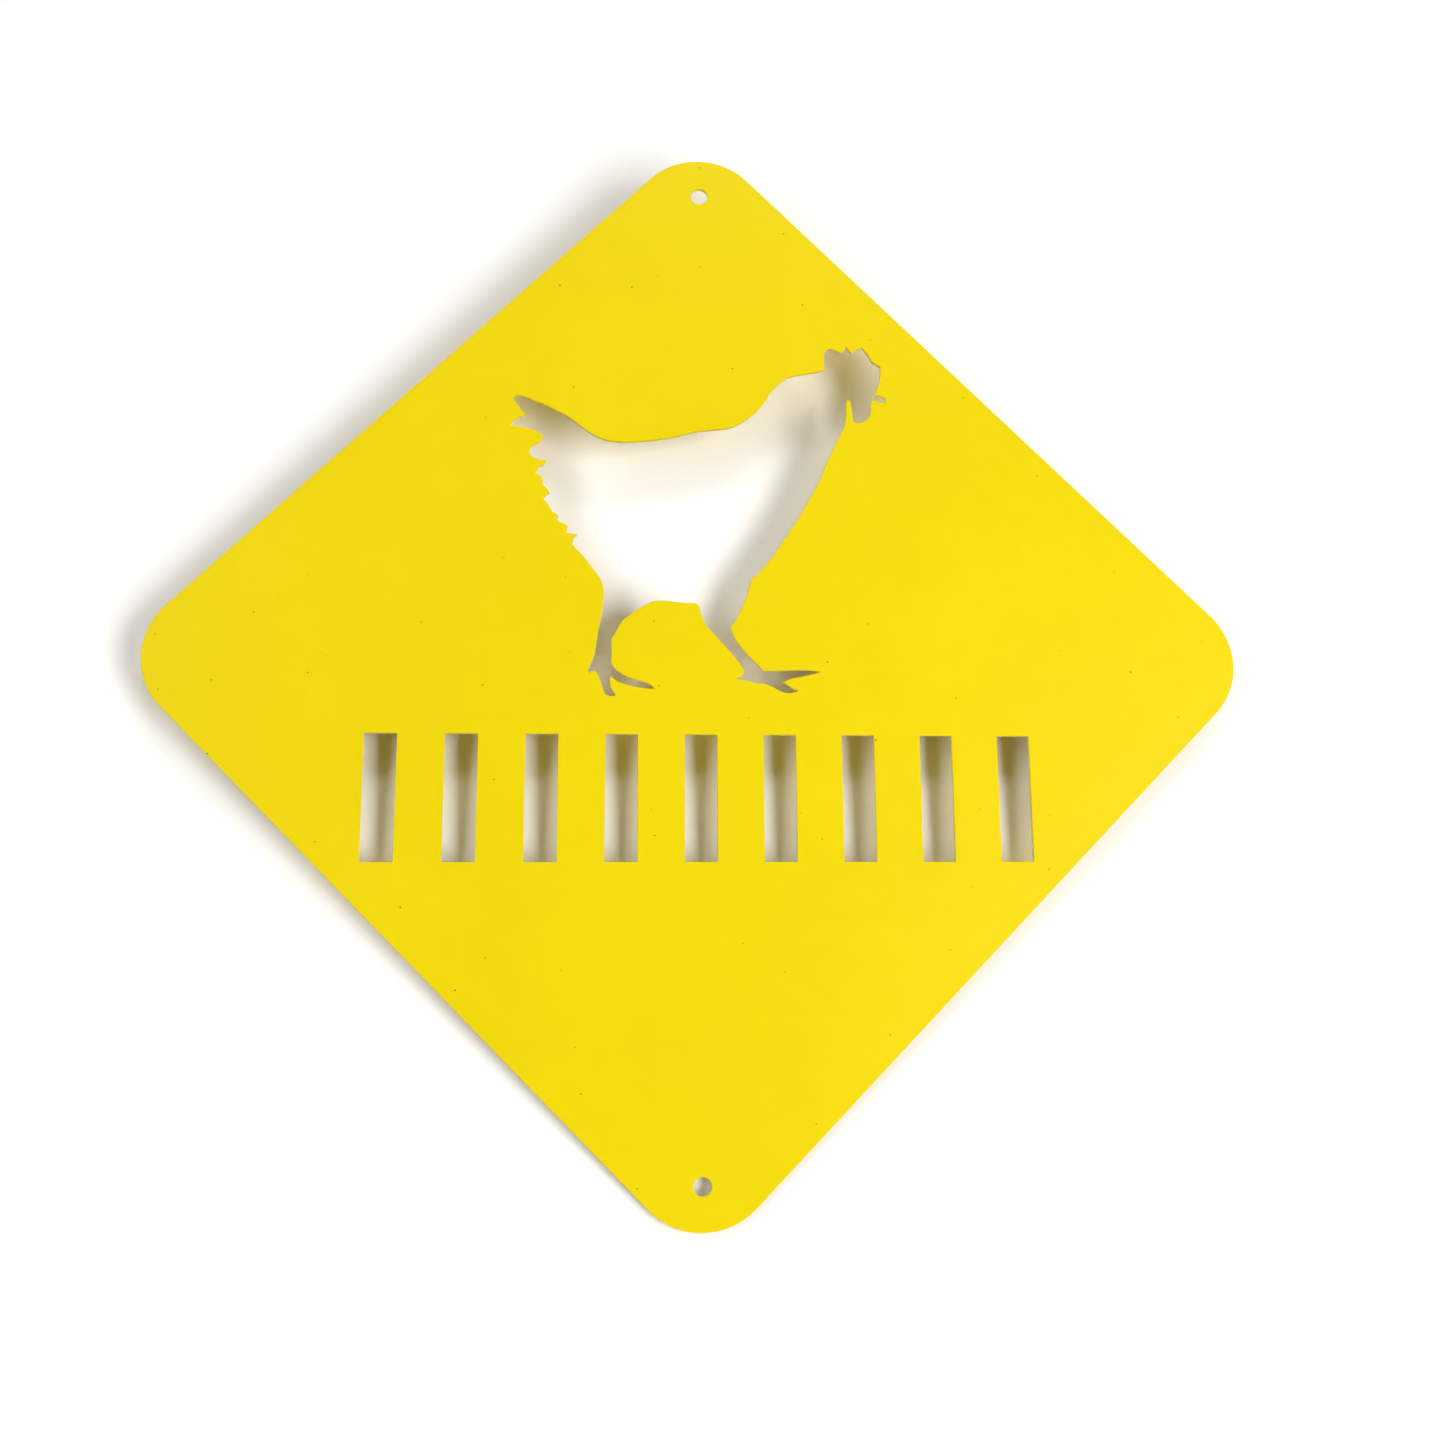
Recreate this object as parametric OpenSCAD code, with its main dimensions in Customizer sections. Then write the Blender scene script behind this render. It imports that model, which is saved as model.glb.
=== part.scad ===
// A diamond sign plate cut from one flat sheet, hung upright.
// Millimetres, with X to the viewer's right and Z up. The front face looks towards -Y.
// The origin is the middle of the back face.

/* [Plate] */
// Length of one side, measured as if the corners were sharp
side = 304.8; // [280:0.2:330]
// Radius of the four corners
corner_r = 27; // [8:0.5:45]
// Thickness of the sheet
thickness = 1.5; // [0.8:0.1:6]
// Least steel left between the row of bars and the edge of the plate
edge_margin = 12; // [4:0.5:25]

/* [Fixing holes] */
// Diameter of the two holes
hole_d = 6.5; // [3:0.1:12]
// Distance from the tip of a corner in to the middle of its hole
hole_inset = 15.4; // [10:0.1:40]

/* [Hen] */
// Width of the hen, from the tail to the tip of the beak
hen_w = 145; // [100:1:160]
// Height of the ground under its lowest toe, from the middle of the plate
ground_z = -14; // [-24:1:4]

/* [Crossing bars] */
// Number of bars in the row
bar_count = 9; // [2:1:13]
// Width of one bar
bar_w = 12; // [4:0.5:17]
// Height of the bars
bar_h = 47; // [10:1:55]
// Drop from the ground under the hen to the tops of the bars
bar_drop = 14.5; // [5:0.5:20]

/* [Hidden] */
$fn = 96;
// A cut runs this far past both faces.
overcut = 1;
// The most that the hen's outline turns between two of its points, in degrees.
turn_step = 9;

half_diagonal = side / sqrt(2);
corner_tip = half_diagonal - corner_r * (sqrt(2) - 1);
hole_z = corner_tip - hole_inset;
bar_top = ground_z - bar_drop;
bar_foot = bar_top - bar_h;
// The row is as wide as the plate allows at the bars' feet.
row_w = 2 * (half_diagonal + bar_foot - edge_margin * sqrt(2));
bar_pitch = (row_w - bar_w) / (bar_count - 1);

// The hen's outline, clockwise. Each list starts at a sharp corner and runs as one smooth curve to the
// first point of the next list. The points are drawn from the middle of the plate.
tail_and_back = [
    [-66.3, 95.4], [-67.9, 97], [-69.3, 98.7], [-70.7, 100.6], [-71.4, 102.1], [-71, 103], [-69.7, 103.2],
    [-67, 102.7], [-64, 101.4], [-60, 99.9], [-55, 97.4], [-50, 94.6], [-44, 90], [-38, 86.4], [-32, 85.2],
    [-25, 85.3], [-17, 86.2], [-9, 87.8], [-2, 89.7], [5, 90.7], [10, 91.3], [14, 92.6], [18, 95.2],
    [22, 98.5], [25, 102.4], [28, 107], [31, 110.4], [34.5, 112.8], [39, 114.1], [44, 115]
];
comb_rear_lobe = [[48.6, 116.2], [48.8, 119], [48.8, 121.8], [49.1, 123.8], [50.2, 125], [52, 125], [54, 124.2]];
comb_spike_rear = [[55.3, 123.7], [56.5, 124.6]];
comb_spike_front = [[57.6, 126.6], [58.2, 125.1]];
comb_front_lobe_rear = [[59.6, 123.6], [61.4, 125]];
comb_front_lobe = [[63.7, 125.9], [65, 124.4], [66.4, 122.1]];
forehead = [[67.7, 120], [69.2, 119]];
face = [[70.7, 118.3], [70.7, 115.5], [70.2, 112], [69.3, 108.9]];
beak = [[68.3, 106.1], [70, 106], [71.6, 105.5], [72.5, 104.4], [72.2, 103.4], [71, 103.3], [69, 103.9]];
wattle_and_breast = [
    [67, 104], [66.6, 101.5], [66.5, 99], [65.5, 97], [63.8, 95.4], [61.8, 94.7], [60.2, 95], [59.6, 96.6],
    [59.3, 99.5], [58.9, 102.8], [58.1, 104.2], [57.3, 103.7], [56.9, 101.9], [56.8, 98.5], [56.5, 95],
    [55.6, 92], [54, 89], [51.5, 83.7], [49, 78.5], [47, 73.2], [44.2, 67.4], [41, 61.9], [37.8, 56.2],
    [34.4, 50.8], [31, 45.7], [27.8, 40.8], [24.4, 36.4], [21.5, 33.2]
];
front_thigh = [[19.3, 31.2], [18.4, 28.5], [17.7, 25.5], [16.3, 21.8], [14.5, 17.8], [12.9, 14.9]];
front_shank = [[11.3, 12.4], [12.1, 9.8], [13.5, 7.1], [15.6, 4.2], [18.4, 1], [21.2, -1.8]];
front_toe_top = [[23.6, -4.2], [30, -4.1], [37, -3.8], [41.5, -3.9]];
front_toe_under = [[44.9, -4.4], [41, -5.5], [36.5, -6.5], [33, -7.4]];
front_side_toe = [[30.8, -8.6], [32.5, -9.6], [34.5, -10.9]];
front_sole = [
    [36.5, -11.6], [34.8, -12.3], [32.5, -12.5], [30.2, -12], [27.5, -10.5], [24.5, -9.2], [21, -8.8],
    [17.5, -8], [15.5, -7.6]
];
front_hind_toe = [[13, -7.3], [14.9, -6.4]];
front_leg_rear_and_belly = [
    [16.4, -4.2], [14.2, -0.8], [10.8, 3.4], [7.2, 7.5], [3.8, 11.2], [1.7, 13.9], [0.7, 16.5], [-0.1, 19.2],
    [-0.7, 20.7], [-1.5, 21.5], [-3, 21.8], [-6, 21.8], [-10, 22.2], [-14, 22.6], [-18, 22.2], [-22, 20.1],
    [-26, 17.3], [-29, 14.9], [-31, 11.6]
];
rear_shank_front = [
    [-33.3, 7.5], [-33.4, 5], [-33.2, 1.5], [-33.4, -1], [-32.4, -3.2], [-29.5, -5.5], [-26, -7.3],
    [-22, -8.5], [-19, -9.6]
];
rear_toe_under = [[-17.2, -11.3], [-21.5, -11], [-26, -10.1], [-30, -8.9], [-32, -7.8]];
rear_side_toe = [[-33.2, -6.6], [-33.8, -8], [-33.8, -9.5], [-33, -11.5]];
rear_sole = [
    [-31.5, -13.7], [-32.4, -14], [-34, -14], [-35.3, -13.4], [-36.2, -11.6], [-37.1, -8.8], [-38.3, -5.8],
    [-39.4, -4.5], [-40.4, -4.8]
];
rear_leg_rear = [
    [-41.5, -5.4], [-41.9, -4.9], [-41.4, -3.4], [-40.3, -0.6], [-39.3, 2.6], [-38.8, 6], [-38.4, 9.5],
    [-37.6, 13.8], [-36.9, 18], [-36.5, 22], [-36.4, 26], [-36.9, 29.2], [-38.5, 32.2], [-41, 35.5],
    [-44.5, 40.1], [-47, 42.6], [-48.2, 44.6], [-47.8, 46.3]
];
rump_feathers = [
    [[-46.5, 48], [-48.5, 48.2]],
    [[-50.6, 48.7], [-50.4, 49.8], [-50.1, 50.8], [-50.8, 51.9], [-52.6, 52.6]],
    [[-54.8, 53.8], [-53.9, 54.5], [-53.8, 55.5], [-54.8, 56.2], [-56, 56.9], [-56.7, 58.2], [-57.6, 59.8]],
    [[-59.6, 62], [-58.3, 63.3]],
    [[-57.1, 64.1], [-57.8, 65.5], [-59, 66.9]],
    [[-60, 67.8], [-59.8, 69.5], [-60.5, 71]],
    [[-62.4, 71.9], [-62.1, 73.4], [-61.3, 74.6], [-59.8, 75.3]],
    [
        [-58.5, 77.1], [-61, 77.5], [-63.5, 78.4], [-65, 80], [-65, 81.6], [-63.6, 83.2], [-61.4, 84.5],
        [-60.1, 85.8], [-60.2, 87.2], [-61.6, 88.4], [-64.5, 89.7], [-68, 90.5]
    ],
    [[-72.3, 90.9], [-71.6, 92.5], [-70, 94], [-68, 94.8]]
];
hen_runs = [
    tail_and_back, comb_rear_lobe, comb_spike_rear, comb_spike_front, comb_front_lobe_rear, comb_front_lobe,
    forehead, face, beak, wattle_and_breast, front_thigh, front_shank, front_toe_top, front_toe_under,
    front_side_toe, front_sole, front_hind_toe, front_leg_rear_and_belly, rear_shank_front, rear_toe_under,
    rear_side_toe, rear_sole, rear_leg_rear, each rump_feathers
];
hen_points = [for (run = hen_runs) each run];
drawn_left = min([for (p = hen_points) p[0]]);
drawn_right = max([for (p = hen_points) p[0]]);
drawn_toe = min([for (p = hen_points) p[1]]);
hen_scale = hen_w / (drawn_right - drawn_left);

function unit(v) = v / norm(v);

// The direction at b of the circle through a, b and c.
function middle_direction(a, b, c) = unit(unit(b - a) * norm(c - b) + unit(c - b) * norm(b - a));

// The direction at one end of an arc, from the direction at its other end and the chord between them.
function end_direction(chord, direction) =
    let (u = unit(chord)) 2 * (u * direction) * u - direction;

function middle_directions(run) =
    [for (i = [1:len(run) - 2]) middle_direction(run[i - 1], run[i], run[i + 1])];

function directions(run) =
    let (last = len(run) - 1, middle = middle_directions(run))
    [
        end_direction(run[1] - run[0], middle[0]),
        each middle,
        end_direction(run[last] - run[last - 1], middle[last - 2])
    ];

// The points of one span from a up to b, which it leaves out, where the curve starts along u and ends along v.
function span(a, b, u, v) =
    let (steps = max(1, ceil(acos(min(1, u * v)) / turn_step)), chord = norm(b - a))
    [
        for (i = [0:steps - 1])
            let (t = i / steps, s = 1 - t)
            a * s * s * (1 + 2 * t) + b * t * t * (3 - 2 * t) + chord * s * t * (s * u - t * v)
    ];

// The points of one smooth run, up to the corner where the next one starts.
function smooth(run, next_corner) =
    let (points = [each run, next_corner], ways = directions(points))
    [for (i = [0:len(run) - 1]) each span(points[i], points[i + 1], ways[i], ways[i + 1])];

hen_outline = [
    for (i = [0:len(hen_runs) - 1]) each smooth(hen_runs[i], hen_runs[(i + 1) % len(hen_runs)][0])
];

module rounded_diamond() {
    rotate(45) {
        square([side, side - 2 * corner_r], center = true);
        square([side - 2 * corner_r, side], center = true);
        for (x = [-1, 1], y = [-1, 1])
            translate([x, y] * (side / 2 - corner_r))
                circle(r = corner_r);
    }
}

module hen() {
    translate([0, ground_z])
        scale(hen_scale)
            translate([0, -drawn_toe])
                polygon(hen_outline);
}

module crossing_bars() {
    for (i = [0:bar_count - 1])
        translate([i * bar_pitch - row_w / 2, bar_foot])
            square([bar_w, bar_h]);
}

// Stands an outline up and gives it the thickness of the sheet, behind its front face.
module sheet(spare = 0) {
    rotate([90, 0, 0])
        translate([0, 0, -spare])
            linear_extrude(thickness + 2 * spare)
                children();
}

module fixing_hole(z) {
    translate([0, overcut, z])
        rotate([90, 0, 0])
            cylinder(d = hole_d, h = thickness + 2 * overcut);
}

module sign_plate() {
    color([0.97, 0.86, 0.06])
        difference() {
            sheet()
                rounded_diamond();
            sheet(overcut)
                hen();
            sheet(overcut)
                crossing_bars();
            fixing_hole(hole_z);
            fixing_hole(-hole_z);
        }
}

sign_plate();
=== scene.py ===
# %% [markdown]
# # A chicken crossing sign in yellow powder coat
#
# The real sign is one piece of flat steel. A cutter takes a hen, a row of bars and two fixing holes out
# of it, and then the whole sheet is dusted with yellow powder and baked until the powder melts into a
# skin. There is nothing else on it, so the work goes into three things: clean edges that are a little
# soft, a believable coating, and the light that makes a thin plate stand off the wall behind it.
#
# The CAD plate comes in first. It is a fixed frame: every size below is read from it and nothing in it
# is moved.

# %% Load the CAD plate
import math

import bmesh
import bpy
from mathutils import Matrix, Vector


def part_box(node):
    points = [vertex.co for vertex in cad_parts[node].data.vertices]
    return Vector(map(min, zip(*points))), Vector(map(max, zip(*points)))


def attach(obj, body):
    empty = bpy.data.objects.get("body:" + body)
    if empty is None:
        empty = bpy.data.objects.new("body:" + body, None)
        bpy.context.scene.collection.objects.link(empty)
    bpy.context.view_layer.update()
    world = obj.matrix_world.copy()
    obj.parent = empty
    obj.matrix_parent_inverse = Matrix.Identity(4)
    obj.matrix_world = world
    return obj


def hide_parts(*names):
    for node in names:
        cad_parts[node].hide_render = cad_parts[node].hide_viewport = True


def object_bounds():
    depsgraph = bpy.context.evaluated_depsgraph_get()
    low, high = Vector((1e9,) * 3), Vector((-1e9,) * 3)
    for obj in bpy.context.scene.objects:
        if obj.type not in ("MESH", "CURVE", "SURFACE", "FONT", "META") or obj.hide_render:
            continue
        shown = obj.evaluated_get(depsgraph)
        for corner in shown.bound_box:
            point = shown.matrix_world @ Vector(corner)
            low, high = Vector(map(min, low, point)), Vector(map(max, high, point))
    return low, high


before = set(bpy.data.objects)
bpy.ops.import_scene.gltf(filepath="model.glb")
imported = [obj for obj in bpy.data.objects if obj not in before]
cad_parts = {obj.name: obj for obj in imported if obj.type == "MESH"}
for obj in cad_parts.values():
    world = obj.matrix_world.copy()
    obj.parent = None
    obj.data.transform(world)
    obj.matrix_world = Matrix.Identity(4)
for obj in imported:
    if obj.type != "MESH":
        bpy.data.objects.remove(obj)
cad_box = [list(corner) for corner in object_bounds()]
print("CAD box in metres", cad_box)

# %% [markdown]
# ## The camera
#
# The camera stands close to the sign, lower than its middle and a little to its left, and looks up and
# across it. That is why the diamond leans in the picture, although the plate itself hangs straight.
# A camera can be aimed by angles, but a place to stand and a point to look at are easier to read, so
# the script gives those two and adds the small tilt of a camera that isn't held quite level.

# %% Camera
mm = 0.001
EYE = Vector((-26.8, -515.8, -119.1)) * mm
LOOKED_AT = Vector((7.1, -1.5, -23.0)) * mm
CAMERA_TILT = math.radians(-0.35)

lens = bpy.data.cameras.new("camera")
lens.sensor_width = 36
lens.lens = 35.33
camera = bpy.data.objects.new("camera", lens)
bpy.context.scene.collection.objects.link(camera)
camera.rotation_mode = "QUATERNION"
aim = (LOOKED_AT - EYE).to_track_quat("-Z", "Y")
camera.rotation_quaternion = aim @ Matrix.Rotation(CAMERA_TILT, 3, "Z").to_quaternion()
camera.location = EYE
bpy.context.scene.camera = camera
print("camera stands", round((LOOKED_AT - EYE).length / mm), "mm from the point that it looks at")

# %% [markdown]
# ## Reading the outlines
#
# A thin plate is its outlines: the rim, the hen, the bars and the holes. They are in the CAD plate
# already, as the edges where its front face ends. The CAD mesh is loose triangles, so a copy of it is
# merged first, and then every edge that has the front face on one side only belongs to an outline.
# Following each edge in the direction of its face keeps the steel on the left all the way round, which
# later tells the inside of a cut from the outside.

# %% Outlines of the front face
SAME_POINT = 0.001 * mm
FACING_FRONT = -0.99


def front_outlines(node):
    """The outlines of a node's front face, as lists of (x, z) in metres with the steel on the left."""
    merged = bmesh.new()
    merged.from_mesh(node.data)
    bmesh.ops.remove_doubles(merged, verts=merged.verts, dist=SAME_POINT)
    # A dict keeps its order. A set's order would change from run to run, and the mesh's with it.
    front = dict.fromkeys(face for face in merged.faces if face.normal.y < FACING_FRONT)
    following = {}
    for face in front:
        for corner in face.loops:
            if sum(side in front for side in corner.edge.link_faces) == 1:
                following[corner.vert] = corner.link_loop_next.vert
    outlines = []
    while following:
        vert = next(iter(following))
        outline = []
        while vert in following:
            outline.append((vert.co.x, vert.co.z))
            vert = following.pop(vert)
        outlines.append(outline)
    merged.free()
    return outlines


outlines = front_outlines(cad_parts["sign_plate"])
print(len(outlines), "outlines with", sorted(len(outline) for outline in outlines), "points")

# %% [markdown]
# ## Sizes from the outlines
#
# Everything but the hen follows a plain rule, so it is better measured and drawn again than copied: a
# measured corner can be as round as it should be, where the CAD mesh has only a few flat steps. The
# straight sides of the diamond lie where |x| + |z| is largest, and the first point of a straight side
# is one corner radius away from where the sharp corner would be.

# %% Measure the plate
ON_THE_LINE = 0.01 * mm


def middle(values):
    return (min(values) + max(values)) / 2


def extent(values):
    return max(values) - min(values)


rim = max(outlines, key=lambda outline: extent([x for x, z in outline]))
hen = max(outlines, key=len)
bars = sorted(outline for outline in outlines if len(outline) == 4)
holes = [outline for outline in outlines if outline not in (rim, hen, *bars)]
hole_x, hole_z = (middle(values) for values in zip(*holes[0]))

half_diagonal = max(abs(x) + abs(z) for x, z in rim)
straight = [(x, z) for x, z in rim if abs(x) + abs(z) > half_diagonal - ON_THE_LINE]
sizes = {
    "Side": half_diagonal * math.sqrt(2),
    "Corner Radius": math.sqrt(2) * min(abs(x) for x, z in straight),
    "Thickness": extent([corner[1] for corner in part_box("sign_plate")]),
    "Hole Radius": max(math.hypot(x - hole_x, z - hole_z) for x, z in holes[0]),
    "Hole Height": abs(hole_z),
    "Bar Count": len(bars),
    "Bar Width": extent([x for x, z in bars[0]]),
    "Bar Height": extent([z for x, z in bars[0]]),
    "First Bar X": middle([x for x, z in bars[0]]),
    "Bar Z": middle([z for x, z in bars[0]]),
    "Bar Pitch": (middle([x for x, z in bars[-1]]) - middle([x for x, z in bars[0]])) / (len(bars) - 1),
}
for name, value in sizes.items():
    print(f"{name:14}", value if isinstance(value, int) else f"{value / mm:.3f} mm")

# %% [markdown]
# ## Building node trees from Python
#
# Both the mesh and the coating come from nodes. Two small helpers keep that readable. A `Wire` is an
# output of a node, and Python's own signs work on it, so `1 - mask` adds a Math node by itself. A
# `Sheet` adds any other node: its type, then its settings, then what goes into its sockets.

# %% Helpers for node trees
class Wire:
    """An output socket. Python's signs on it add Math nodes to the tree that it is in."""

    def __init__(self, sheet, socket):
        self.sheet, self.socket = sheet, socket

    def math(self, operation, *values):
        return self.sheet.add("ShaderNodeMath", {"operation": operation}, dict(enumerate(values)))("Value")

    def __add__(self, other):
        return self.math("ADD", self, other)

    def __sub__(self, other):
        return self.math("SUBTRACT", self, other)

    def __rsub__(self, other):
        return self.math("SUBTRACT", other, self)

    def __mul__(self, other):
        return self.math("MULTIPLY", self, other)

    def __truediv__(self, other):
        return self.math("DIVIDE", self, other)

    def __lt__(self, other):
        return self.math("LESS_THAN", self, other)

    def __gt__(self, other):
        return self.math("GREATER_THAN", self, other)

    __radd__, __rmul__ = __add__, __mul__


class Sheet:
    """A node tree to write on. Sockets go by their name, their identifier or their number."""

    def __init__(self, tree):
        self.tree = tree
        tree.nodes.clear()

    @staticmethod
    def find(sockets, key):
        if isinstance(key, int):
            return sockets[key]
        return next((socket for socket in sockets if socket.identifier == key), None) or sockets[key]

    def add(self, kind, settings=None, sockets=None):
        node = self.tree.nodes.new(kind)
        node.location = (180 * (len(self.tree.nodes) % 12), -220 * (len(self.tree.nodes) // 12))
        for name, value in (settings or {}).items():
            setattr(node, name, value)
        for key, value in (sockets or {}).items():
            socket = self.find(node.inputs, key)
            for item in value if isinstance(value, list) else [value]:
                if isinstance(item, Wire):
                    self.tree.links.new(item.socket, socket)
                else:
                    socket.default_value = item
        return lambda key=0: Wire(self, self.find(node.outputs, key))


# %% [markdown]
# ## The powder coat
#
# Powder is sprayed on dry and flows together in the oven, so it covers evenly, has no brush marks and
# ends up with the fine dimples that are called orange peel. The film is a few hundredths of a
# millimetre thicker in one place than in the next, which shifts its colour by a shade that is felt more
# than seen. Now and then a grain of dust bakes into it and leaves a dark pinprick.
#
# An image could carry all this, but it would blur up close and repeat. Noise textures on Object
# coordinates keep their real size in millimetres from any distance, on both faces and round the edges.
# The bumps add up as one height in metres, so a single Bump node with a distance of 1 is enough.

# %% Coating material
def colour(red, green, blue):
    """A colour given as in a paint program, from 0 to 255, as the linear values that Blender uses."""
    def linear(level):
        level /= 255
        return level / 12.92 if level <= 0.04045 else ((level + 0.055) / 1.055) ** 2.4
    return (linear(red), linear(green), linear(blue), 1)


def clouds(sheet, place, size, detail=2.0, roughness=0.5):
    """Soft noise from 0 to 1 with blobs of about the given size in metres."""
    return sheet.add(
        "ShaderNodeTexNoise", {"noise_dimensions": "3D"},
        {"Vector": place, "Scale": 1 / size, "Detail": detail, "Roughness": roughness},
    )("Fac")


def blend(sheet, factor, first, second):
    """Two colours mixed by a factor from 0 to 1."""
    return sheet.add(
        "ShaderNodeMix", {"data_type": "RGBA"}, {"Factor_Float": factor, "A_Color": first, "B_Color": second}
    )("Result_Color")


def between(sheet, value, low, high, to_low=0.0, to_high=1.0):
    """A value's stretch from low to high, spread over another range and held at its ends."""
    return sheet.add(
        "ShaderNodeMapRange", {"clamp": True},
        {"Value": value, "From Min": low, "From Max": high, "To Min": to_low, "To Max": to_high},
    )("Result")


YELLOW_THIN = colour(246, 220, 6)
YELLOW_FULL = colour(250, 224, 8)
DUST = colour(84, 66, 20)
FILM_DRIFT = 60 * mm
FILM_CLOUD = 9 * mm
DRIFT_SHARE = 0.7  # the rest is the finer clouds
FILM_SPREAD = (0.35, 0.65)  # noise that counts as the thinnest and the fullest film
SATIN = (0.30, 0.36)  # roughness
SATIN_SPREAD = (0.3, 0.7)
PEEL = 1.3 * mm
PEEL_DEPTH = 0.012 * mm
SHEET_WAVE = 140 * mm
SHEET_WAVE_DEPTH = 0.25 * mm
SPECK_SPACING = 30 * mm
SPECK_RADIUS = 0.26 * mm
SPECK_SHARE = 0.6
SPECK_LEAST, SPECK_MORE = 0.5, 0.7  # the least size of a speck, and what chance adds to it
SPECK_RIM = (1.25, 0.75)  # where a speck fades in, in its own radii
SPECK_COVER = 0.85
SPECK_ROUGHNESS = 0.2
GLOSS = 0.14  # the shader's specular level


def powder_coat():
    material = bpy.data.materials.new("baked_yellow_powder")
    material.use_nodes = True
    paint = Sheet(material.node_tree)
    place = paint.add("ShaderNodeTexCoord")("Object")

    drift = clouds(paint, place, FILM_DRIFT)
    cloud = clouds(paint, place, FILM_CLOUD, detail=3)
    film = between(paint, drift * DRIFT_SHARE + cloud * (1 - DRIFT_SHARE), *FILM_SPREAD)

    across = paint.add("ShaderNodeSeparateXYZ", None, {"Vector": place})
    flat = paint.add("ShaderNodeCombineXYZ", None, {"X": across("X"), "Y": across("Z")})("Vector")
    grains = paint.add(
        "ShaderNodeTexVoronoi", {"voronoi_dimensions": "2D", "feature": "F1"},
        {"Vector": flat, "Scale": 1 / SPECK_SPACING},
    )
    luck = paint.add("ShaderNodeSeparateColor", None, {"Color": grains("Color")})
    reach = (luck("Green") * SPECK_MORE + SPECK_LEAST) * (SPECK_RADIUS / SPECK_SPACING)
    speck = between(paint, grains("Distance") / reach, *SPECK_RIM) * (luck("Red") < SPECK_SHARE)

    yellow = blend(paint, film, YELLOW_THIN, YELLOW_FULL)
    base = blend(paint, speck * SPECK_COVER, yellow, DUST)
    roughness = between(paint, cloud, *SATIN_SPREAD, *SATIN) + speck * SPECK_ROUGHNESS

    wave = clouds(paint, place, SHEET_WAVE, detail=0) * SHEET_WAVE_DEPTH
    peel = clouds(paint, place, PEEL, detail=1) * PEEL_DEPTH
    bumps = paint.add("ShaderNodeBump", None, {"Height": wave + peel, "Distance": 1.0})("Normal")

    skin = paint.add(
        "ShaderNodeBsdfPrincipled", None,
        {"Base Color": base, "Roughness": roughness, "Normal": bumps, "Specular IOR Level": GLOSS},
    )("BSDF")
    paint.add("ShaderNodeOutputMaterial", None, {"Surface": skin})
    return material


coating = powder_coat()
print("coating nodes", len(coating.node_tree.nodes))

# %% [markdown]
# ## The hen's outline as a wire
#
# The hen follows no rule, so its outline is taken from the CAD plate as it is: a closed loop of points.
# The CAD outline bends in steps of a few degrees. To round those off without blunting the beak, the
# toes and the feathers, each point is marked as a corner or not, by how far the outline turns there. A
# corner that turns to the left is marked once more, as a tip of steel that points into the hen.

# %% Wire of the hen
CORNER_TURN = math.radians(24)


def left_turn(before, here, after):
    """How far a line turns to the left at a point, in radians."""
    first, second = Vector(here) - Vector(before), Vector(after) - Vector(here)
    return math.atan2(first.cross(second), first.dot(second))


count = len(hen)
turns = [left_turn(hen[i - 1], hen[i], hen[(i + 1) % count]) for i in range(count)]
marks = {
    "corner": [abs(turn) > CORNER_TURN for turn in turns],
    "steel_tip": [turn > CORNER_TURN for turn in turns],
}
wire = bpy.data.meshes.new("hen_outline")
wire.from_pydata([(x, z, 0) for x, z in hen], [(i, (i + 1) % count) for i in range(count)], [])
for name, marked in marks.items():
    wire.attributes.new(name, "BOOLEAN", "POINT").data.foreach_set("value", marked)
    print(sum(marked), "of", count, "points marked as", name)

# %% [markdown]
# ## The plate as a rule
#
# A flat plate with cuts could be made with booleans, but they leave hard knife edges, and a bevel
# stumbles where the outline is fine. Sweeping is cleaner. A short profile of the plate's edge, rounded
# at the front and at the back as the melted powder rounds it, is run along every outline, and then the
# two flat faces are filled in between the swept bands.
#
# Geometry Nodes suit this, since the rim, the bars and the holes each follow a rule. The tree has an
# input for each size. Everything is drawn lying down, on X and Y, and stood up at the very end.

# %% Node tree: inputs
EDGE_RADIUS = 0.32 * mm

tree = bpy.data.node_groups.new("cut_and_coated_sheet", "GeometryNodeTree")
sheet = Sheet(tree)
tree.interface.new_socket("Geometry", in_out="OUTPUT", socket_type="NodeSocketGeometry")
tree.interface.new_socket("Hen Outline", in_out="INPUT", socket_type="NodeSocketGeometry")
inputs = {**sizes, "Edge Radius": EDGE_RADIUS, "Coating": coating}
kinds = {int: "NodeSocketInt", float: "NodeSocketFloat", bpy.types.Material: "NodeSocketMaterial"}
identifiers = {
    name: tree.interface.new_socket(name, in_out="INPUT", socket_type=kinds[type(value)]).identifier
    for name, value in inputs.items()
}
given = sheet.add("NodeGroupInput")
print(len(identifiers), "inputs:", ", ".join(identifiers))

# %% [markdown]
# The rim is a square with filleted corners, turned onto its tip. The bars are one rectangle on a line
# of points, and the holes are one circle on two points. The hen's wire becomes a Bezier curve whose
# handles run smoothly through its points, except at the marked corners, where they stay straight.

# %% Node tree: outlines
RIM_STEPS = 32  # in each rounded corner of the rim
HOLE_STEPS = 72  # round each hole
HEN_STEPS = 3  # from one point of the hen's outline to the next


def vector(x=0.0, y=0.0, z=0.0):
    return sheet.add("ShaderNodeCombineXYZ", None, {"X": x, "Y": y, "Z": z})("Vector")


def in_a_row(curve, points, start, step):
    """Copies of a curve on a straight row of points."""
    row = sheet.add(
        "GeometryNodeMeshLine", {"mode": "OFFSET"}, {"Count": points, "Start Location": start, "Offset": step}
    )("Mesh")
    placed = sheet.add("GeometryNodeInstanceOnPoints", None, {"Points": row, "Instance": curve})("Instances")
    return sheet.add("GeometryNodeRealizeInstances", None, {"Geometry": placed})("Geometry")


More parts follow.
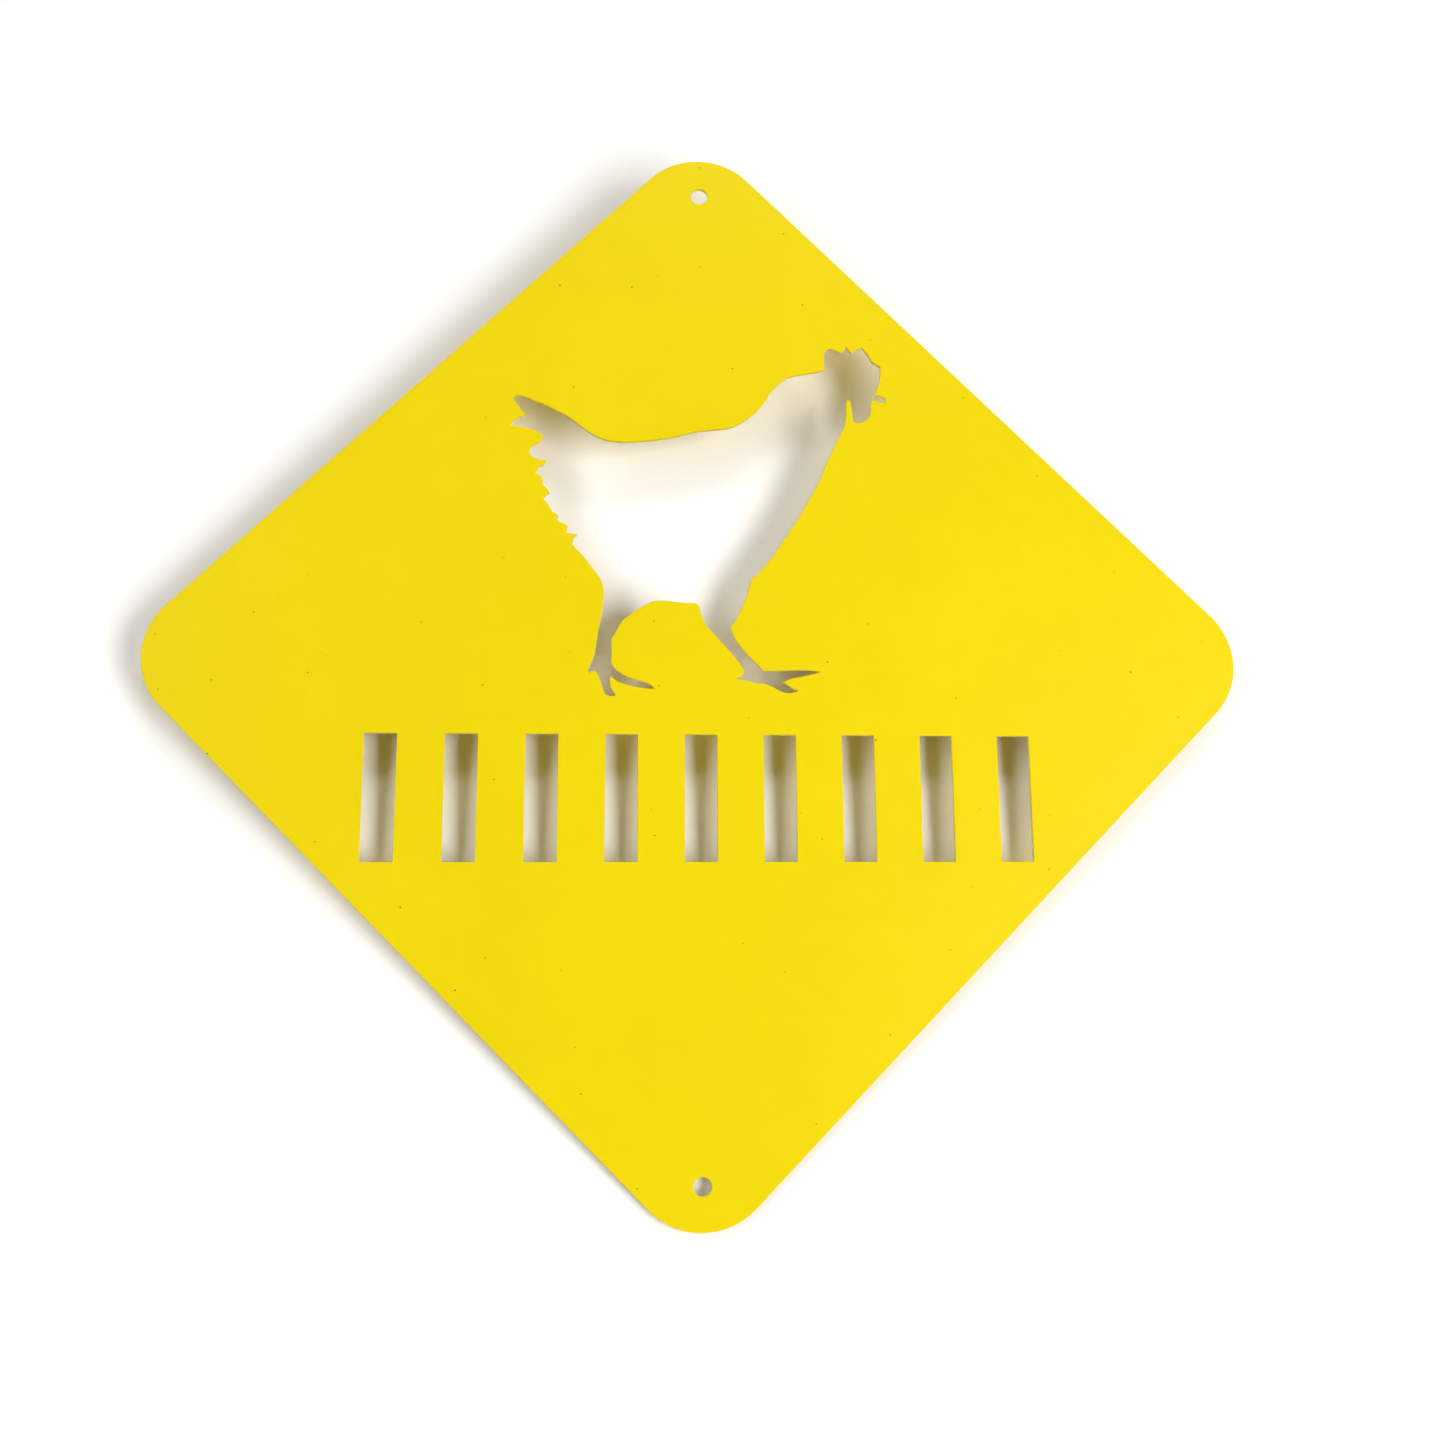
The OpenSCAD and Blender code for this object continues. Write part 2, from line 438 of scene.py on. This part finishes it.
square = sheet.add(
    "GeometryNodeCurvePrimitiveQuadrilateral", {"mode": "RECTANGLE"},
    {"Width": given("Side"), "Height": given("Side")},
)("Curve")
filleted = sheet.add(
    "GeometryNodeFilletCurve", {"mode": "POLY"},
    {"Curve": square, "Count": RIM_STEPS, "Radius": given("Corner Radius")},
)("Curve")
rim_line = sheet.add(
    "GeometryNodeTransform", None, {"Geometry": filleted, "Rotation": (0, 0, math.radians(45))}
)("Geometry")

circle = sheet.add(
    "GeometryNodeCurvePrimitiveCircle", {"mode": "RADIUS"},
    {"Resolution": HOLE_STEPS, "Radius": given("Hole Radius")},
)("Curve")
hole_lines = in_a_row(circle, 2, vector(y=given("Hole Height") * -1), vector(y=given("Hole Height") * 2))

rectangle = sheet.add(
    "GeometryNodeCurvePrimitiveQuadrilateral", {"mode": "RECTANGLE"},
    {"Width": given("Bar Width"), "Height": given("Bar Height")},
)("Curve")
bar_lines = in_a_row(
    rectangle, given("Bar Count"), vector(given("First Bar X"), given("Bar Z")), vector(given("Bar Pitch"))
)

hen_curve = sheet.add("GeometryNodeMeshToCurve", None, {"Mesh": given("Hen Outline")})("Curve")
bezier = sheet.add("GeometryNodeCurveSplineType", {"spline_type": "BEZIER"}, {"Curve": hen_curve})("Curve")
smooth = sheet.add("GeometryNodeCurveSetHandles", {"handle_type": "AUTO"}, {"Curve": bezier})("Curve")
is_corner = sheet.add("GeometryNodeInputNamedAttribute", {"data_type": "BOOLEAN"}, {"Name": "corner"})
pointed = sheet.add(
    "GeometryNodeCurveSetHandles", {"handle_type": "VECTOR"},
    {"Curve": smooth, "Selection": is_corner("Attribute")},
)("Curve")
hen_line = sheet.add(
    "GeometryNodeSetSplineResolution", None, {"Geometry": pointed, "Resolution": HEN_STEPS}
)("Geometry")
print("tree so far", len(tree.nodes), "nodes")

# %% [markdown]
# The profile is a line across the thickness with a short foot at each end, filleted where it turns. The
# feet lie in the two faces, so the faces stay perfectly flat beyond the rounding. Cut-outs run the other
# way round from the rim, so that the same profile leans into the steel on all of them.
#
# At a sharp tip of steel there is no room for that: the feet of its two sides would cross. So each
# point of the band remembers where it was on the outline, and is drawn back towards it near a tip.

# %% Node tree: swept edges and flat faces
EDGE_STEPS = 4  # in each rounding of the profile
FOOT = 1.25  # in edge radii; the fillet takes one of them
CROWDED = 3.0  # the reach of a steel tip, in edge radii
DRAWN_BACK = 0.98  # the share of the way back to the outline, right at a tip

cuts = sheet.add("GeometryNodeJoinGeometry", None, {"Geometry": [hole_lines, bar_lines]})("Geometry")
cuts = sheet.add("GeometryNodeReverseCurve", None, {"Curve": cuts})("Curve")
lines = sheet.add("GeometryNodeJoinGeometry", None, {"Geometry": [rim_line, cuts, hen_line]})("Geometry")
upright = sheet.add("GeometryNodeSetCurveNormal", {"mode": "Z_UP"}, {"Curve": lines})("Curve")

foot, front = given("Edge Radius") * -FOOT, given("Thickness") * -1
box_line = sheet.add(
    "GeometryNodeCurvePrimitiveQuadrilateral", {"mode": "POINTS"},
    {"Point 1": vector(foot, front), "Point 2": vector(0, front), "Point 3": vector(),
     "Point 4": vector(foot)},
)("Curve")
open_line = sheet.add(
    "GeometryNodeSetSplineCyclic", None, {"Geometry": box_line, "Cyclic": False}
)("Geometry")
profile = sheet.add(
    "GeometryNodeFilletCurve", {"mode": "POLY"},
    {"Curve": open_line, "Count": EDGE_STEPS, "Radius": given("Edge Radius")},
)("Curve")

position = sheet.add("GeometryNodeInputPosition")("Position")
marked_lines = sheet.add(
    "GeometryNodeStoreNamedAttribute", {"data_type": "FLOAT_VECTOR", "domain": "POINT"},
    {"Geometry": upright, "Name": "outline", "Value": position},
)("Geometry")
swept = sheet.add("GeometryNodeCurveToMesh", None, {"Curve": marked_lines, "Profile Curve": profile})("Mesh")

steel_tip = sheet.add("GeometryNodeInputNamedAttribute", {"data_type": "BOOLEAN"}, {"Name": "steel_tip"})
tips = sheet.add(
    "GeometryNodeSeparateGeometry", {"domain": "POINT"},
    {"Geometry": given("Hen Outline"), "Selection": steel_tip("Attribute")},
)("Selection")
outline = sheet.add("GeometryNodeInputNamedAttribute", {"data_type": "FLOAT_VECTOR"}, {"Name": "outline"})
from_tip = sheet.add(
    "GeometryNodeProximity", {"target_element": "POINTS"},
    {"Geometry": tips, "Sample Position": outline("Attribute")},
)("Distance")
crowded = between(sheet, from_tip, 0.0, given("Edge Radius") * CROWDED, DRAWN_BACK, 0.0)
back_to_outline = sheet.add(
    "ShaderNodeVectorMath", {"operation": "SUBTRACT"}, {0: outline("Attribute"), 1: position}
)("Vector")
drawn_back = sheet.add(
    "ShaderNodeVectorMath", {"operation": "MULTIPLY"}, {0: back_to_outline, 1: vector(crowded, crowded)}
)("Vector")
band = sheet.add("GeometryNodeSetPosition", None, {"Geometry": swept, "Offset": drawn_back})("Geometry")

height = sheet.add("ShaderNodeSeparateXYZ", None, {"Vector": position})("Z")
free = sheet.add("GeometryNodeInputMeshEdgeNeighbors")("Face Count") < 1.5
front_ends = sheet.add(
    "GeometryNodeMeshToCurve", None,
    {"Mesh": band, "Selection": free * (height > given("Thickness") * 0.5)},
)("Curve")
back_face = sheet.add("GeometryNodeFillCurve", {"mode": "TRIANGLES"}, {"Curve": front_ends})("Mesh")
front_face = sheet.add(
    "GeometryNodeTransform", None, {"Geometry": back_face, "Translation": vector(z=given("Thickness"))}
)("Geometry")
back_face = sheet.add("GeometryNodeFlipFaces", None, {"Mesh": back_face})("Mesh")
faces = sheet.add("GeometryNodeJoinGeometry", None, {"Geometry": [front_face, back_face]})("Geometry")
print("tree so far", len(tree.nodes), "nodes")

# %% [markdown]
# The faces are shaded flat and the bands smooth, with a sharp crease left wherever the band turns by
# more than a smooth curve would, at a feather tip or the corner of a bar. The parts are joined and the
# doubled points between them merged, which closes the skin. Last, the sheet is stood up with its front
# face towards -Y and gets its material.

# %% Node tree: one closed skin
WELD = 0.002 * mm

flat_faces = sheet.add(
    "GeometryNodeSetShadeSmooth", {"domain": "FACE"}, {"Geometry": faces, "Shade Smooth": False}
)("Geometry")
smooth_band = sheet.add(
    "GeometryNodeSetShadeSmooth", {"domain": "FACE"}, {"Geometry": band, "Shade Smooth": True}
)("Geometry")
joined = sheet.add("GeometryNodeJoinGeometry", None, {"Geometry": [flat_faces, smooth_band]})("Geometry")
closed = sheet.add("GeometryNodeMergeByDistance", None, {"Geometry": joined, "Distance": WELD})("Geometry")
bend = sheet.add("GeometryNodeInputMeshEdgeAngle")("Unsigned Angle")
creased = sheet.add(
    "GeometryNodeSetShadeSmooth", {"domain": "EDGE"},
    {"Geometry": closed, "Selection": bend > CORNER_TURN, "Shade Smooth": False},
)("Geometry")
stood_up = sheet.add(
    "GeometryNodeTransform", None, {"Geometry": creased, "Rotation": (math.radians(90), 0, 0)}
)("Geometry")
real = sheet.add("GeometryNodeRealizeInstances", None, {"Geometry": stood_up})("Geometry")
coated = sheet.add(
    "GeometryNodeSetMaterial", None, {"Geometry": real, "Material": given("Coating")}
)("Geometry")
sheet.add("NodeGroupOutput", None, {"Geometry": coated})
print("finished tree", len(tree.nodes), "nodes")

# %% [markdown]
# ## From nodes to a plain mesh
#
# The tree runs as a modifier on the hen's wire. Its inputs are set by their identifiers before the
# first evaluation. The result is then taken as a plain mesh, so that what is kept doesn't depend on any
# modifier. Two numbers tell at once if the skin is sound: every edge must join exactly two faces, and
# the volume must be close to the CAD plate's, a little less because of the rounded edges.

# %% Run the tree
maker = bpy.data.objects.new("plate_maker", wire)
bpy.context.scene.collection.objects.link(maker)
modifier = maker.modifiers.new("sheet", "NODES")
modifier.node_group = tree
for name, value in inputs.items():
    modifier[identifiers[name]] = value
made = maker.evaluated_get(bpy.context.evaluated_depsgraph_get())
plate_mesh = bpy.data.meshes.new_from_object(made)
maker.modifiers.clear()
bpy.data.objects.remove(maker)

plate_mesh.materials.clear()
plate_mesh.materials.append(coating)
plate_mesh.polygons.foreach_set("material_index", [0] * len(plate_mesh.polygons))
plate_mesh.attributes.remove(plate_mesh.attributes["outline"])

plate = bpy.data.objects.new("coated_plate", plate_mesh)
bpy.context.scene.collection.objects.link(plate)


def soundness(mesh, merge=0.0):
    """The number of edges that don't join two faces, and the volume in cubic millimetres."""
    skin = bmesh.new()
    skin.from_mesh(mesh)
    if merge:
        bmesh.ops.remove_doubles(skin, verts=skin.verts, dist=merge)
    result = sum(len(edge.link_faces) != 2 for edge in skin.edges), skin.calc_volume(signed=True) / mm**3
    skin.free()
    return result


loose, volume = soundness(plate_mesh)
cad_loose, cad_volume = soundness(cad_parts["sign_plate"].data, merge=SAME_POINT)
print("plate", len(plate_mesh.polygons), "faces,", loose, "loose edges,", round(volume), "mm3")
print("CAD  ", cad_loose, "loose edges,", round(cad_volume), "mm3")

# %% [markdown]
# ## The stage: a wall and a floor
#
# The sign is seen against a white wall. Its top stands about an inch off the wall and its lowest corner
# nearly touches it. So the gap behind it is a thin wedge, and that wedge is what the eye reads in
# the picture: the shadow is a hairline at the bottom and a broad soft band at the top. Here the plate
# hangs straight and the wall leans instead, which gives the same wedge. Light that falls through the
# cuts bounces between the wall and the back of the plate, and turns the deep shadows a warm tan.
#
# The wall would hide the sign from behind, keep light from its back and shine on it through the gap. Its
# back side is therefore see-through, it casts no shadow, and a ray that comes straight from what the
# camera looks at passes it. Bounced light meets a common warm white paint, and the camera sees a white
# that is a little stronger. So the lit wall shows as plain white without a stronger lamp. The floor is
# far below the lamps, so it gets a pale glow of its own that only the camera sees.

# %% Wall and floor
GAP_BELOW = 2 * mm
GAP_ABOVE = 26 * mm
WALL_HALF = 1.0
FLOOR_HALF = 12.0
FLOOR_Z = -1.5
WALL_PAINT = (0.86, 0.84, 0.79, 1)
WALL_SEEN = (1.17, 1.16, 1.14, 1)
FLOOR_PAINT = (0.70, 0.70, 0.70, 1)
FLOOR_SEEN = (0.30, 0.30, 0.30, 1)
FLOOR_GLOW = 0.82


def seen_directly(sheet):
    """1 for what the camera sees, straight or in a reflection or through glass, and 0 for other light."""
    ray = sheet.add("ShaderNodeLightPath")
    kinds = ray("Is Camera Ray") + ray("Is Glossy Ray") + ray("Is Transmission Ray")
    return kinds.math("MINIMUM", kinds, 1.0)


def paper(name, bounced, seen, glow=0.0, clear_behind=False):
    """A plain matt surface with one colour for bounced light and another for what the camera sees."""
    material = bpy.data.materials.new(name)
    material.use_nodes = True
    matt = Sheet(material.node_tree)
    looked_at = seen_directly(matt)
    shade = blend(matt, looked_at, bounced, seen)
    shown = matt.add("ShaderNodeBsdfDiffuse", None, {"Color": shade})("BSDF")
    if glow:
        light = matt.add("ShaderNodeEmission", None, {"Strength": looked_at * glow})("Emission")
        shown = matt.add("ShaderNodeAddShader", None, {0: shown, 1: light})("Shader")
    if clear_behind:
        behind = matt.add("ShaderNodeNewGeometry")("Backfacing")
        bounces = matt.add("ShaderNodeLightPath")("Ray Depth")
        passing = behind.math("MAXIMUM", behind, (bounces > 0.5) * (bounces < 1.5))
        nothing = matt.add("ShaderNodeBsdfTransparent")("BSDF")
        shown = matt.add("ShaderNodeMixShader", None, {"Fac": passing, 1: shown, 2: nothing})("Shader")
    matt.add("ShaderNodeOutputMaterial", None, {"Surface": shown})
    return material


def board(name, half, place, material):
    """A square surface of the stage. place gives the spot of each point of the square, drawn flat."""
    mesh = bpy.data.meshes.new(name)
    corners = ((-half, -half), (half, -half), (half, half), (-half, half))
    mesh.from_pydata([place(across, along) for across, along in corners], [], [range(4)])
    mesh.materials.append(material)
    piece = bpy.data.objects.new(name, mesh)
    bpy.context.scene.collection.objects.link(piece)
    return piece


tip_z = cad_box[1][2]
lean = (GAP_ABOVE - GAP_BELOW) / (2 * tip_z)


def on_wall(x, z):
    return (x, GAP_BELOW + (z + tip_z) * lean, z)


def on_floor(x, y):
    return (x, y, FLOOR_Z)


wall = board("wall", WALL_HALF, on_wall, paper("wall_white", WALL_PAINT, WALL_SEEN, clear_behind=True))
wall.visible_shadow = False
board("floor", FLOOR_HALF, on_floor, paper("floor_pale", FLOOR_PAINT, FLOOR_SEEN, glow=FLOOR_GLOW))
print("wall leans", round(math.degrees(math.atan(lean)), 2), "degrees")

# %% [markdown]
# ## The light
#
# Two tall soft lamps stand in front like two windows, one on each side at about forty degrees. The right
# one is the stronger and reaches lower, so the deepest shadows fall to the left of the rim and inside
# the right edges of the cuts, and the left one fills them again from its side. A weak lamp high above
# the camera lightens the feet of the shadows. It stands high enough that its mirror image passes over
# the camera, or the top of the sign would look pale. Powers are set so that the yellow renders about as
# it is written.
#
# A last lamp lights the back of the sign for a camera that walks round it. In the small gap its light
# would bounce to the wall and fill the shadows with yellow, so it counts only where the camera looks
# straight at a surface: its strength is switched off after the first bounce.

# %% Lamps and sky
def lamp(name, place, width, tall, power):
    """A soft lamp, in metres and watts, that looks at the sign. The camera doesn't see it directly."""
    data = bpy.data.lights.new(name, "AREA")
    data.shape = "RECTANGLE"
    data.size, data.size_y = width, tall
    data.energy = power
    stand = bpy.data.objects.new(name, data)
    stand.location = place
    stand.rotation_euler = (-Vector(place)).to_track_quat("-Z", "Y").to_euler()
    stand.visible_camera = False
    bpy.context.scene.collection.objects.link(stand)
    return data


lamp("lamp_right", place=(0.97, -1.20, -0.44), width=0.58, tall=1.2, power=19.6)
lamp("lamp_left", place=(-1.04, -1.30, 0.22), width=0.42, tall=2.6, power=12.6)
lamp("lamp_above", place=(0.34, -1.30, 1.50), width=1.0, tall=0.5, power=8.2)
behind = lamp("lamp_behind", place=(0.3, 1.5, 0.3), width=1.2, tall=1.2, power=25)
behind.use_nodes = True
beam = Sheet(behind.node_tree)
depth = beam.add("ShaderNodeLightPath")("Ray Depth")
beam.add("ShaderNodeOutputLight", None, {
    "Surface": beam.add("ShaderNodeEmission", None, {"Strength": depth < 1.5})("Emission")
})

WHITE = 1.0
SKY_LIGHT = 0.03
world = bpy.data.worlds.new("studio")
bpy.context.scene.world = world
world.use_nodes = True
sky = Sheet(world.node_tree)
looked_at = seen_directly(sky)
strength = looked_at * (WHITE - SKY_LIGHT) + SKY_LIGHT
air = sky.add("ShaderNodeBackground", None, {"Color": (1, 1, 1, 1), "Strength": strength})("Background")
sky.add("ShaderNodeOutputWorld", None, {"Surface": air})
bpy.context.scene.view_settings.view_transform = "Standard"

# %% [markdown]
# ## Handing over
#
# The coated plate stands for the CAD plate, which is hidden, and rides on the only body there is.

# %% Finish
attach(plate, "root")
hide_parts("sign_plate")
